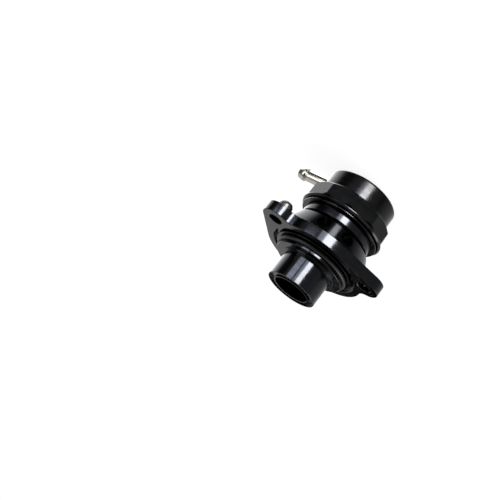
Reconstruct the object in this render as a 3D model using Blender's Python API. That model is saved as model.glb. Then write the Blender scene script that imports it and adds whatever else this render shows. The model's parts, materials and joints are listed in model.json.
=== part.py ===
"""Atmospheric blow off valve: a turned body with a three-eared flange, a ten-sided screw cap and a sprung piston.

Row frame, in metres: the valve stands on its cap. The origin is the centre of the cap's flat top, +Z runs along
the valve's axis towards the spigot, and +X and -Y lie between the two ears on the side that is usually seen.
"""

import math

import bmesh
import bpy
from mathutils import Matrix, Vector

MM = 0.001

# Clearances
SEAT_GAP = 0.3 * MM  # between pieces that rest on each other
RUN_GAP = 0.3 * MM  # piston in its bore
SEAL_GAP = 0.12 * MM  # a seal in its groove
THREAD_GAP = 0.3 * MM  # radial, between the cap's thread and the body's

# Cap, measured from its flat top at z = 0
CROWN_WALL = 3.8 * MM  # round the chamber
CROWN_HEIGHT = 12.0 * MM
CROWN_EDGE = 0.8 * MM
NUT_SIDES = 10
NUT_CORNER_STEP = 0.4 * MM  # the ten corners lie inside the collar's rim
NUT_HEIGHT = 9.6 * MM
NUT_TURN = math.radians(-81.6)
NUT_CHAMFER = 1.7 * MM  # at the corners, at both ends of the nut
NUT_STOCK = 0.15 * MM  # turned over size before the flats are cut
NUT_FLAT_STOP = 0.2 * MM  # the flats' cut ends this far above the collar
COLLAR_STEP = 1.5 * MM  # the collar stands out from the lip
COLLAR_HEIGHT = 1.5 * MM
COLLAR_CHAMFER = 0.8 * MM
LIP_WALL = 4.2 * MM  # from the cap's thread to the lip's rim
LIP_HEIGHT = 0.8 * MM
LIP_GROOVE_DEPTH = 1.5 * MM
LIP_GROOVE_WIDTH = 0.8 * MM
CAP_END_WALL = 2.6 * MM
CHAMBER_STEP = 2.4 * MM  # from the chamber's wall out to the body's thread
SPRING_BOSS_HEIGHT = 3.4 * MM

# Body, from the cap towards the spigot
PISTON_BORE_RADIUS = 14.0 * MM
NECK_WALL = 5.4 * MM  # from the piston's bore to the crests of the thread
THREAD_HEIGHT = 8.5 * MM
CAP_SEAL_RADIUS = 0.95 * MM
BODY_RING_STEP = 1.9 * MM  # the ring stands out from the thread
BODY_RING_HEIGHT = 4.7 * MM
WAIST_WALL = 2.3 * MM
WAIST_HEIGHT = 2.5 * MM
HUB_TOP_RADIUS = 23.4 * MM
HUB_FOOT_STEP = 2.3 * MM  # the hub's foot stays inside the flange's edge
HUB_HEIGHT = 9.9 * MM
HUB_EDGE = 0.5 * MM
VENT_PAIRS = 3  # one pair between each two ears
VENT_RADIUS = 3.65 * MM
VENT_TURN = math.radians(-86.0)  # middle of the first pair
VENT_SPREAD = math.radians(35.0)  # between the two vents of a pair
VENT_LAND = 0.35 * MM  # from the hub's end to the vents

# Flange
FLANGE_RADIUS = 30.3 * MM
FLANGE_THICKNESS = 6.3 * MM
FLANGE_EDGE = 0.4 * MM
EAR_ANGLES = (math.radians(-150.0), math.radians(-25.0), math.radians(90.0))
EAR_OFFSET = 2.35 * MM  # the bolt holes' circle lies outside the flange's round edge
EAR_RADIUS = 8.4 * MM
EAR_FILLET = 6.0 * MM
EAR_HOLE_RADIUS = 3.9 * MM

# Register boss and spigot in front of the flange
FACE_WIDTH = 4.3 * MM  # flat rim of the flange outside the recess
RECESS_WIDTH = 2.4 * MM
RECESS_DEPTH = 2.1 * MM
REGISTER_HEIGHT = 0.5 * MM
FLANGE_SEAL_RADIUS = 1.15 * MM
FLANGE_SEAL_GROOVE_DEPTH = 0.9 * MM  # below the land's edge
LAND_RADIUS = 20.6 * MM
LAND_HEIGHT = 1.8 * MM
ROOT_RING_STEP = 1.5 * MM  # stands out from the spigot
ROOT_RING_HEIGHT = 0.7 * MM
SPIGOT_RADIUS = 14.7 * MM
SPIGOT_LENGTH = 15.0 * MM
SPIGOT_EDGE = 0.2 * MM
SPIGOT_RIM_WIDTH = 0.7 * MM  # land outside the groove in the spigot's end
PORT_RIM_WIDTH = 0.65 * MM  # land inside it
END_GROOVE_DEPTH = 1.5 * MM
PORT_RADIUS = 10.2 * MM
SEAT_DEPTH = 0.5 * MM  # the piston's seat, below the flange's back face
SEAT_CHAMFER = 1.2 * MM

# Piston
PISTON_LENGTH = 22.0 * MM
PISTON_WALL = 2.6 * MM
PISTON_FLOOR = 3.4 * MM
NOSE_HEIGHT = 4.6 * MM
NOSE_SEAL_RADIUS = 0.9 * MM
PISTON_SEAL_RADIUS = 0.8 * MM
GUIDE_WIDTH = 2.6 * MM
GUIDE_THICKNESS = 1.1 * MM
GUIDE_INSET = 1.6 * MM
RETAINER_INSET = 1.5 * MM  # the retainer's rim inside the nose's
NOSE_STEP = 1.6 * MM  # the nose's end inside the retainer's rim
RETAINER_THICKNESS = 1.2 * MM
SCREW_RADIUS = 2.0 * MM
SCREW_LENGTH = 6.0 * MM
SCREW_HEAD_RADIUS = 3.6 * MM
SCREW_HEAD_HEIGHT = 2.2 * MM
SCREW_SOCKET = 2.0 * MM

# Spring and its washers
WIRE_RADIUS = 1.1 * MM
SPRING_TURNS = 7
SPRING_SIDE_GAP = 0.5 * MM  # from the coil to its washers' rims
SPRING_BOSS_GAP = 0.9 * MM  # from the coil to the boss inside it
SHIM_THICKNESS = 1.0 * MM

# Vacuum nipple
NIPPLE_TURN = math.radians(30.0)
NIPPLE_DROP = 4.0 * MM  # its axis below the cap's top
NIPPLE_LENGTH = 19.7 * MM  # stands out of the cap
NIPPLE_STEM_RADIUS = 3.2 * MM
NIPPLE_BORE_RADIUS = 1.5 * MM
NIPPLE_NECK_STEP = 0.6 * MM  # the neck behind the barb lies inside the stem
NIPPLE_NECK_LENGTH = 1.0 * MM
NIPPLE_NECK_TAPER = 0.6 * MM
NIPPLE_BARB_RADIUS = 3.8 * MM
NIPPLE_BARB_LENGTH = 4.2 * MM
NIPPLE_BARB_LAND = 1.1 * MM  # straight part behind the barb's taper
NIPPLE_TIP_RADIUS = 3.0 * MM
NIPPLE_THREAD_RADIUS = 2.3 * MM
NIPPLE_THREAD_REACH = 0.6 * MM  # shows inside the chamber's wall
NIPPLE_HOLE_REACH = 3.0 * MM  # its hole runs this far into the chamber
NIPPLE_FLAT_DEPTH = 1.1 * MM
NIPPLE_WASHER_THICKNESS = 0.8 * MM

# Threaded insert behind the ear beside the vacuum nipple
INSERT_HEAD_RADIUS = 4.0 * MM
INSERT_HEAD_HEIGHT = 4.8 * MM
INSERT_ROUNDING = ((1.2, 0.0), (0.6, 0.35), (0.15, 1.1), (0.0, 2.0))  # inset from its rim and depth, in mm
INSERT_SHANK_LENGTH = 1.6 * MM
INSERT_BORE_RADIUS = 2.6 * MM
INSERT_EAR = 1  # its place in EAR_ANGLES

# Facets round a full turn
WIDE_SEGMENTS = 52
PISTON_SEGMENTS = 36
SEAL_SEGMENTS = 36
WASHER_SEGMENTS = 28
SMALL_SEGMENTS = 18
SEAL_SIDES = 6
COIL_SEGMENTS = 14

CUTTER_REACH = 1.0 * MM  # how far a cutter runs past what it cuts

# Radii that follow from the fits
THREAD_RADIUS = PISTON_BORE_RADIUS + NECK_WALL
CAP_BORE_RADIUS = THREAD_RADIUS + THREAD_GAP
BODY_RING_RADIUS = THREAD_RADIUS + BODY_RING_STEP
WAIST_RADIUS = PISTON_BORE_RADIUS + WAIST_WALL
CHAMBER_RADIUS = THREAD_RADIUS - CHAMBER_STEP
CROWN_RADIUS = CHAMBER_RADIUS + CROWN_WALL
LIP_RADIUS = CAP_BORE_RADIUS + LIP_WALL
LIP_GROOVE_RADIUS = LIP_RADIUS - LIP_GROOVE_DEPTH
COLLAR_RADIUS = LIP_RADIUS + COLLAR_STEP
NUT_CORNER_RADIUS = COLLAR_RADIUS - NUT_CORNER_STEP
EAR_CIRCLE_RADIUS = FLANGE_RADIUS + EAR_OFFSET
HUB_FOOT_RADIUS = FLANGE_RADIUS - HUB_FOOT_STEP
RECESS_RADIUS = FLANGE_RADIUS - FACE_WIDTH
REGISTER_RADIUS = RECESS_RADIUS - RECESS_WIDTH
FLANGE_SEAL_GROOVE_RADIUS = LAND_RADIUS - FLANGE_SEAL_GROOVE_DEPTH
ROOT_RING_RADIUS = SPIGOT_RADIUS + ROOT_RING_STEP
END_GROOVE_OUTER = SPIGOT_RADIUS - SPIGOT_RIM_WIDTH
END_GROOVE_INNER = PORT_RADIUS + PORT_RIM_WIDTH
PISTON_RADIUS = PISTON_BORE_RADIUS - RUN_GAP
PISTON_CUP_RADIUS = PISTON_RADIUS - PISTON_WALL
SHIM_OUTER_RADIUS = PISTON_CUP_RADIUS - SEAT_GAP
SPRING_RADIUS = SHIM_OUTER_RADIUS - SPRING_SIDE_GAP - WIRE_RADIUS
SPRING_BOSS_RADIUS = SPRING_RADIUS - WIRE_RADIUS - SPRING_BOSS_GAP
NOSE_RADIUS = PORT_RADIUS - RUN_GAP
RETAINER_RADIUS = NOSE_RADIUS - RETAINER_INSET

# Heights along the axis, each from the one before
NUT_TOP_Z = CROWN_HEIGHT
NUT_FOOT_Z = NUT_TOP_Z + NUT_HEIGHT
COLLAR_FOOT_Z = NUT_FOOT_Z + COLLAR_HEIGHT
LIP_Z = COLLAR_FOOT_Z + LIP_GROOVE_WIDTH
CAP_FOOT_Z = LIP_Z + LIP_HEIGHT
BODY_RING_Z = CAP_FOOT_Z + SEAT_GAP
CAP_SEAL_GROOVE_Z = BODY_RING_Z - 2 * (CAP_SEAL_RADIUS + SEAL_GAP)
BODY_TOP_Z = CAP_SEAL_GROOVE_Z - THREAD_HEIGHT
WAIST_Z = BODY_RING_Z + BODY_RING_HEIGHT
HUB_Z = WAIST_Z + WAIST_HEIGHT
FLANGE_BACK_Z = HUB_Z + HUB_HEIGHT
FLANGE_FACE_Z = FLANGE_BACK_Z + FLANGE_THICKNESS
REGISTER_Z = FLANGE_FACE_Z + REGISTER_HEIGHT
LAND_Z = REGISTER_Z + 2 * (FLANGE_SEAL_RADIUS + SEAL_GAP)
ROOT_Z = LAND_Z + LAND_HEIGHT
SPIGOT_Z = ROOT_Z + ROOT_RING_HEIGHT
SPIGOT_END_Z = SPIGOT_Z + SPIGOT_LENGTH
VENT_Z = HUB_Z + VENT_LAND + VENT_RADIUS
SEAT_Z = FLANGE_BACK_Z - SEAT_DEPTH
PISTON_FACE_Z = SEAT_Z - SEAT_GAP
PISTON_TOP_Z = PISTON_FACE_Z - PISTON_LENGTH
PISTON_FLOOR_Z = PISTON_FACE_Z - PISTON_FLOOR


def clear_scene():
    for obj in list(bpy.data.objects):
        bpy.data.objects.remove(obj, do_unlink=True)


def make_material(name, colour, roughness, metallic):
    material = bpy.data.materials.new(name)
    material.use_nodes = True
    shader = material.node_tree.nodes["Principled BSDF"]
    shader.inputs["Base Color"].default_value = (*colour, 1.0)
    shader.inputs["Roughness"].default_value = roughness
    shader.inputs["Metallic"].default_value = metallic
    material.diffuse_color = (*colour, 1.0)
    return material


def add_object(name, bm, material=None, smooth_angle=30.0):
    bmesh.ops.remove_doubles(bm, verts=bm.verts, dist=1e-6)
    bmesh.ops.recalc_face_normals(bm, faces=bm.faces)
    mesh = bpy.data.meshes.new(name)
    bm.to_mesh(mesh)
    bm.free()
    mesh.shade_smooth()
    mesh.set_sharp_from_angle(angle=math.radians(smooth_angle))
    obj = bpy.data.objects.new(name, mesh)
    bpy.context.scene.collection.objects.link(obj)
    if material:
        mesh.materials.append(material)
    else:
        obj.hide_render = True
        obj.display_type = "WIRE"
    return obj


def cut_corners(profile):
    """Profile points (radius, height, chamfer) as plain points, each corner with a chamfer cut back along both edges."""
    points = []
    count = len(profile)
    for index, (radius, height, chamfer) in enumerate(profile):
        corner = Vector((radius, height))
        if not chamfer:
            points.append(corner)
            continue
        for neighbour in (profile[index - 1], profile[(index + 1) % count]):
            direction = Vector(neighbour[:2]) - corner
            points.append(corner + direction.normalized() * min(chamfer, direction.length / 2))
    return points


def turned_mesh(profile, segments):
    """A closed (radius, height, chamfer) profile turned about Z."""
    bm = bmesh.new()
    points = cut_corners(profile)
    verts = [bm.verts.new((point.x, 0.0, point.y)) for point in points]
    edges = [bm.edges.new((verts[i - 1], verts[i])) for i in range(len(verts))]
    bmesh.ops.spin(
        bm,
        geom=verts + edges,
        axis=(0, 0, 1),
        cent=(0, 0, 0),
        angle=2 * math.pi,
        steps=segments,
        use_merge=True,
    )
    bmesh.ops.remove_doubles(bm, verts=bm.verts, dist=1e-6)
    flat = [face for face in bm.faces if face.calc_area() < 1e-14]
    bmesh.ops.delete(bm, geom=flat, context="FACES")
    return bm


def turned(name, profile, segments, material=None, place=None):
    bm = turned_mesh(profile, segments)
    if place:
        bmesh.ops.transform(bm, matrix=place, verts=bm.verts)
    return add_object(name, bm, material)


def ring_seal(name, centre_radius, section_radius, height, material):
    """A round-section ring lying flat."""
    profile = []
    for step in range(SEAL_SIDES):
        angle = 2 * math.pi * step / SEAL_SIDES
        radius = centre_radius + section_radius * math.cos(angle)
        profile.append((radius, height + section_radius * math.sin(angle), 0))
    return turned(name, profile, SEAL_SEGMENTS, material)


def prism(outline, low, high):
    """A bmesh prism of a closed outline of (x, y) points, with the faces it ends in."""
    bm = bmesh.new()
    verts = [bm.verts.new((x, y, low)) for x, y in outline]
    base = bm.faces.new(verts)
    raised = bmesh.ops.extrude_face_region(bm, geom=[base])
    top = [item for item in raised["geom"] if isinstance(item, bmesh.types.BMVert)]
    bmesh.ops.translate(bm, verts=top, vec=(0, 0, high - low))
    bmesh.ops.recalc_face_normals(bm, faces=bm.faces)
    return bm


def polar(radius, angle):
    return Vector((radius * math.cos(angle), radius * math.sin(angle)))


def arc(centre, radius, start, end, steps):
    return [centre + polar(radius, start + (end - start) * k / steps) for k in range(steps + 1)]


def regular_outline(sides, corner_radius, turn):
    return [polar(corner_radius, turn + 2 * math.pi * k / sides) for k in range(sides)]


def flange_outline():
    """Round plate with three ears: each ear has a hollow fillet on its clockwise side and a straight flank on the other."""
    outline = []
    hub_reach = FLANGE_RADIUS + EAR_FILLET
    ear_reach = EAR_RADIUS + EAR_FILLET
    spread = EAR_CIRCLE_RADIUS**2 + hub_reach**2 - ear_reach**2
    fillet_angle = math.acos(spread / (2 * EAR_CIRCLE_RADIUS * hub_reach))
    flank_angle = math.acos((FLANGE_RADIUS - EAR_RADIUS) / EAR_CIRCLE_RADIUS)
    centre = Vector((0, 0))
    for index, angle in enumerate(EAR_ANGLES):
        ear = polar(EAR_CIRCLE_RADIUS, angle)
        fillet = polar(hub_reach, angle - fillet_angle)
        to_ear = ear - fillet
        ear_bearing = math.atan2(to_ear.y, to_ear.x)
        hub_bearing = angle - fillet_angle + math.pi
        sweep = (hub_bearing - ear_bearing + math.pi) % (2 * math.pi) - math.pi
        outline += arc(fillet, EAR_FILLET, hub_bearing, hub_bearing - sweep, 4)
        ear_start = ear_bearing + math.pi
        ear_sweep = (angle + flank_angle - ear_start) % (2 * math.pi)
        outline += arc(ear, EAR_RADIUS, ear_start, ear_start + ear_sweep, 10)[1:]
        following = EAR_ANGLES[(index + 1) % len(EAR_ANGLES)]
        start = angle + flank_angle
        reach = (following - fillet_angle - start) % (2 * math.pi)
        steps = max(2, round(reach * WIDE_SEGMENTS / (2 * math.pi)))
        outline += arc(centre, FLANGE_RADIUS, start, start + reach, steps)[:-1]
    return outline


def drill(bm, radius, start, end):
    """Adds a closed cylinder from start to end to a cutter's mesh."""
    direction = end - start
    turn = direction.to_track_quat("Z", "Y").to_matrix().to_4x4()
    bmesh.ops.create_cone(
        bm,
        cap_ends=True,
        segments=SMALL_SEGMENTS,
        radius1=radius,
        radius2=radius,
        depth=direction.length,
        matrix=Matrix.Translation((start + end) / 2) @ turn,
    )


def add_boolean(target, other, operation):
    modifier = target.modifiers.new(other.name, "BOOLEAN")
    modifier.operation = operation
    modifier.object = other
    modifier.solver = "EXACT"


def body_blank():
    """Outside of the body, solid, from the threaded neck to the spigot's end."""
    neck_groove = CAP_BORE_RADIUS - 2 * (CAP_SEAL_RADIUS + SEAL_GAP)
    return [
        (0, BODY_TOP_Z, 0),
        (THREAD_RADIUS, BODY_TOP_Z, 0.6 * MM),
        (THREAD_RADIUS, CAP_SEAL_GROOVE_Z, 0),
        (neck_groove, CAP_SEAL_GROOVE_Z, 0),
        (neck_groove, BODY_RING_Z, 0),
        (BODY_RING_RADIUS, BODY_RING_Z, 0.4 * MM),
        (BODY_RING_RADIUS, WAIST_Z, 0.4 * MM),
        (WAIST_RADIUS, WAIST_Z, 0),
        (WAIST_RADIUS, HUB_Z, 0),
        (HUB_TOP_RADIUS, HUB_Z, HUB_EDGE),
        (HUB_FOOT_RADIUS, FLANGE_BACK_Z, 0),
        (HUB_FOOT_RADIUS, FLANGE_FACE_Z - RECESS_DEPTH, 0),
        (REGISTER_RADIUS, FLANGE_FACE_Z - RECESS_DEPTH, 0),
        (REGISTER_RADIUS, REGISTER_Z, 0.25 * MM),
        (FLANGE_SEAL_GROOVE_RADIUS, REGISTER_Z, 0),
        (FLANGE_SEAL_GROOVE_RADIUS, LAND_Z, 0),
        (LAND_RADIUS, LAND_Z, 0.25 * MM),
        (LAND_RADIUS, ROOT_Z, 0.35 * MM),
        (ROOT_RING_RADIUS, ROOT_Z, 0),
        (ROOT_RING_RADIUS, SPIGOT_Z, 0.25 * MM),
        (SPIGOT_RADIUS, SPIGOT_Z, 0),
        (SPIGOT_RADIUS, SPIGOT_END_Z, SPIGOT_EDGE),
        (END_GROOVE_OUTER, SPIGOT_END_Z, 0),
        (END_GROOVE_OUTER, SPIGOT_END_Z - END_GROOVE_DEPTH, 0),
        (END_GROOVE_INNER, SPIGOT_END_Z - END_GROOVE_DEPTH, 0),
        (END_GROOVE_INNER, SPIGOT_END_Z, 0),
        (0, SPIGOT_END_Z, 0),
    ]


def body_core():
    """What the body's bores remove: the piston's cylinder, its seat and the port through the spigot."""
    return [
        (0, BODY_TOP_Z - CUTTER_REACH, 0),
        (PISTON_BORE_RADIUS + 0.8 * MM + CUTTER_REACH, BODY_TOP_Z - CUTTER_REACH, 0),
        (PISTON_BORE_RADIUS, BODY_TOP_Z + 0.8 * MM, 0),
        (PISTON_BORE_RADIUS, SEAT_Z, 0),
        (PORT_RADIUS + SEAT_CHAMFER, SEAT_Z, 0),
        (PORT_RADIUS, SEAT_Z + SEAT_CHAMFER, 0),
        (PORT_RADIUS, SPIGOT_END_Z + CUTTER_REACH, 0),
        (0, SPIGOT_END_Z + CUTTER_REACH, 0),
    ]


def vent_angles():
    angles = []
    for pair in range(VENT_PAIRS):
        middle = VENT_TURN + 2 * math.pi * pair / VENT_PAIRS
        angles += [middle - VENT_SPREAD / 2, middle + VENT_SPREAD / 2]
    return angles


def make_body(material):
    body = turned("body", body_blank(), WIDE_SEGMENTS, material)
    plate_mesh = prism(flange_outline(), FLANGE_BACK_Z, FLANGE_FACE_Z)
    rims = [edge for edge in plate_mesh.edges if abs(edge.verts[0].co.z - edge.verts[1].co.z) < 1e-7]
    bmesh.ops.bevel(plate_mesh, geom=rims, offset=FLANGE_EDGE, segments=1, affect="EDGES")
    plate = add_object("flange_plate", plate_mesh)
    above_face = FLANGE_FACE_Z + CUTTER_REACH
    recess_profile = [
        (REGISTER_RADIUS, FLANGE_FACE_Z - RECESS_DEPTH, 0),
        (RECESS_RADIUS, FLANGE_FACE_Z - RECESS_DEPTH, 0),
        (RECESS_RADIUS, above_face, 0),
        (REGISTER_RADIUS, above_face, 0),
    ]
    face_recess = turned("face_recess", recess_profile, WIDE_SEGMENTS)
    core = turned("body_core", body_core(), WIDE_SEGMENTS)
    holes = bmesh.new()
    height = Vector((0, 0, VENT_Z))
    for angle in vent_angles():
        bearing = polar(1.0, angle).to_3d()
        inner = bearing * (PISTON_BORE_RADIUS - CUTTER_REACH) + height
        drill(holes, VENT_RADIUS, inner, bearing * (HUB_FOOT_RADIUS + CUTTER_REACH) + height)
    for angle in EAR_ANGLES:
        foot = polar(EAR_CIRCLE_RADIUS, angle).to_3d()
        low = foot + Vector((0, 0, FLANGE_BACK_Z - CUTTER_REACH))
        drill(holes, EAR_HOLE_RADIUS, low, foot + Vector((0, 0, FLANGE_FACE_Z + CUTTER_REACH)))
    hole_cutter = add_object("body_holes", holes)
    add_boolean(body, plate, "UNION")
    add_boolean(body, core, "DIFFERENCE")
    add_boolean(body, face_recess, "DIFFERENCE")
    add_boolean(body, hole_cutter, "DIFFERENCE")
    return body


def make_cap(material):
    """Screw cap: a round crown, a ten-sided nut on a round collar, and a thin lip; threaded inside below its chamber."""
    chamber_foot = BODY_TOP_Z - SEAT_GAP
    nut_edge_radius = NUT_CORNER_RADIUS - NUT_CHAMFER
    nut_blank_radius = NUT_CORNER_RADIUS + NUT_STOCK
    profile = [
        (0, 0, 0),
        (CROWN_RADIUS, 0, CROWN_EDGE),
        (CROWN_RADIUS, NUT_TOP_Z, 0),
        (nut_edge_radius, NUT_TOP_Z, 0),
        (nut_blank_radius, NUT_TOP_Z + NUT_CHAMFER + NUT_STOCK, 0),
        (nut_blank_radius, NUT_FOOT_Z - NUT_CHAMFER - NUT_STOCK, 0),
        (nut_edge_radius, NUT_FOOT_Z, 0),
        (COLLAR_RADIUS, NUT_FOOT_Z, 0.15 * MM),
        (COLLAR_RADIUS, COLLAR_FOOT_Z, COLLAR_CHAMFER),
        (LIP_GROOVE_RADIUS, COLLAR_FOOT_Z, 0),
        (LIP_GROOVE_RADIUS, LIP_Z, 0),
        (LIP_RADIUS, LIP_Z, 0.2 * MM),
        (LIP_RADIUS, CAP_FOOT_Z, 0.2 * MM),
        (CAP_BORE_RADIUS, CAP_FOOT_Z, 0.15 * MM),
        (CAP_BORE_RADIUS, chamber_foot, 0),
        (CHAMBER_RADIUS, chamber_foot, 0),
        (CHAMBER_RADIUS, CAP_END_WALL, 1.0 * MM),
        (SPRING_BOSS_RADIUS, CAP_END_WALL, 0),
        (SPRING_BOSS_RADIUS, CAP_END_WALL + SPRING_BOSS_HEIGHT, 0.6 * MM),
        (0, CAP_END_WALL + SPRING_BOSS_HEIGHT, 0),
    ]
    cap = turned("cap", profile, WIDE_SEGMENTS, material)
    flats_outside = nut_blank_radius / math.cos(math.pi / NUT_SIDES) + CUTTER_REACH
    flats = [
        (NUT_CORNER_RADIUS, NUT_TOP_Z - CUTTER_REACH, 0),
        (flats_outside, NUT_TOP_Z - CUTTER_REACH, 0),
        (flats_outside, NUT_FOOT_Z - NUT_FLAT_STOP, 0),
        (NUT_CORNER_RADIUS, NUT_FOOT_Z - NUT_FLAT_STOP, 0),
    ]
    flat_cutter = turned("nut_flats", flats, NUT_SIDES, place=Matrix.Rotation(NUT_TURN, 4, "Z"))
    bearing = polar(1.0, NIPPLE_TURN).to_3d()
    height = Vector((0, 0, NIPPLE_DROP))
    outside = bearing * (CROWN_RADIUS + CUTTER_REACH) + height
    hole = bmesh.new()
    inside = bearing * (CHAMBER_RADIUS - NIPPLE_HOLE_REACH) + height
    drill(hole, NIPPLE_THREAD_RADIUS + THREAD_GAP, inside, outside)
    spot = bmesh.new()
    drill(spot, NIPPLE_STEM_RADIUS + SEAT_GAP, bearing * (CROWN_RADIUS - NIPPLE_FLAT_DEPTH) + height, outside)
    add_boolean(cap, flat_cutter, "DIFFERENCE")
    add_boolean(cap, add_object("nipple_hole", hole), "DIFFERENCE")
    add_boolean(cap, add_object("nipple_spot_face", spot), "DIFFERENCE")


def radial_place(turn, drop):
    """Takes a piece turned about Z to one whose axis points out of the cap's side."""
    return Matrix.Translation((0, 0, drop)) @ Matrix.Rotation(turn, 4, "Z") @ Matrix.Rotation(math.pi / 2, 4, "Y")


def make_nipple(steel, fibre):
    seat = CROWN_RADIUS - NIPPLE_FLAT_DEPTH + SEAT_GAP / 2
    shoulder = seat + NIPPLE_WASHER_THICKNESS + SEAT_GAP / 2
    tip = CROWN_RADIUS + NIPPLE_LENGTH
    barb_foot = tip - NIPPLE_BARB_LENGTH
    neck_start = barb_foot - NIPPLE_NECK_LENGTH
    thread_end = CHAMBER_RADIUS - NIPPLE_THREAD_REACH
    profile = [
        (NIPPLE_BORE_RADIUS, thread_end, 0),
        (NIPPLE_THREAD_RADIUS, thread_end, 0.3 * MM),
        (NIPPLE_THREAD_RADIUS, shoulder, 0),
        (NIPPLE_STEM_RADIUS, shoulder, 0.2 * MM),
        (NIPPLE_STEM_RADIUS, neck_start - NIPPLE_NECK_TAPER, 0.2 * MM),
        (NIPPLE_STEM_RADIUS - NIPPLE_NECK_STEP, neck_start, 0),
        (NIPPLE_STEM_RADIUS - NIPPLE_NECK_STEP, barb_foot, 0),
        (NIPPLE_BARB_RADIUS, barb_foot, 0.3 * MM),
        (NIPPLE_BARB_RADIUS, barb_foot + NIPPLE_BARB_LAND, 0.3 * MM),
        (NIPPLE_TIP_RADIUS, tip, 0.3 * MM),
        (NIPPLE_BORE_RADIUS, tip, 0.2 * MM),
    ]
    place = radial_place(NIPPLE_TURN, NIPPLE_DROP)
    turned("vacuum_nipple", profile, SMALL_SEGMENTS, steel, place)
    inner = NIPPLE_THREAD_RADIUS + SEAL_GAP
    outer = NIPPLE_STEM_RADIUS
    washer = [
        (inner, seat, 0),
        (outer, seat, 0),
        (outer, seat + NIPPLE_WASHER_THICKNESS, 0),
        (inner, seat + NIPPLE_WASHER_THICKNESS, 0),
    ]
    turned("nipple_washer", washer, SMALL_SEGMENTS, fibre, place)


def guide_height(index):
    """Middle of a guide ring: the first lies near the piston's open end, the second beyond the seal."""
    first = PISTON_TOP_Z + GUIDE_INSET + GUIDE_WIDTH / 2
    return first + index * (GUIDE_WIDTH + 2 * GUIDE_INSET + 2 * PISTON_SEAL_RADIUS)


def seal_height():
    return (guide_height(0) + guide_height(1)) / 2


def groove(floor, middle, half_width):
    """Four points of a square groove in the piston's skirt."""
    return [
        (PISTON_RADIUS, middle - half_width, 0),
        (floor, middle - half_width, 0),
        (floor, middle + half_width, 0),
        (PISTON_RADIUS, middle + half_width, 0),
    ]


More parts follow.
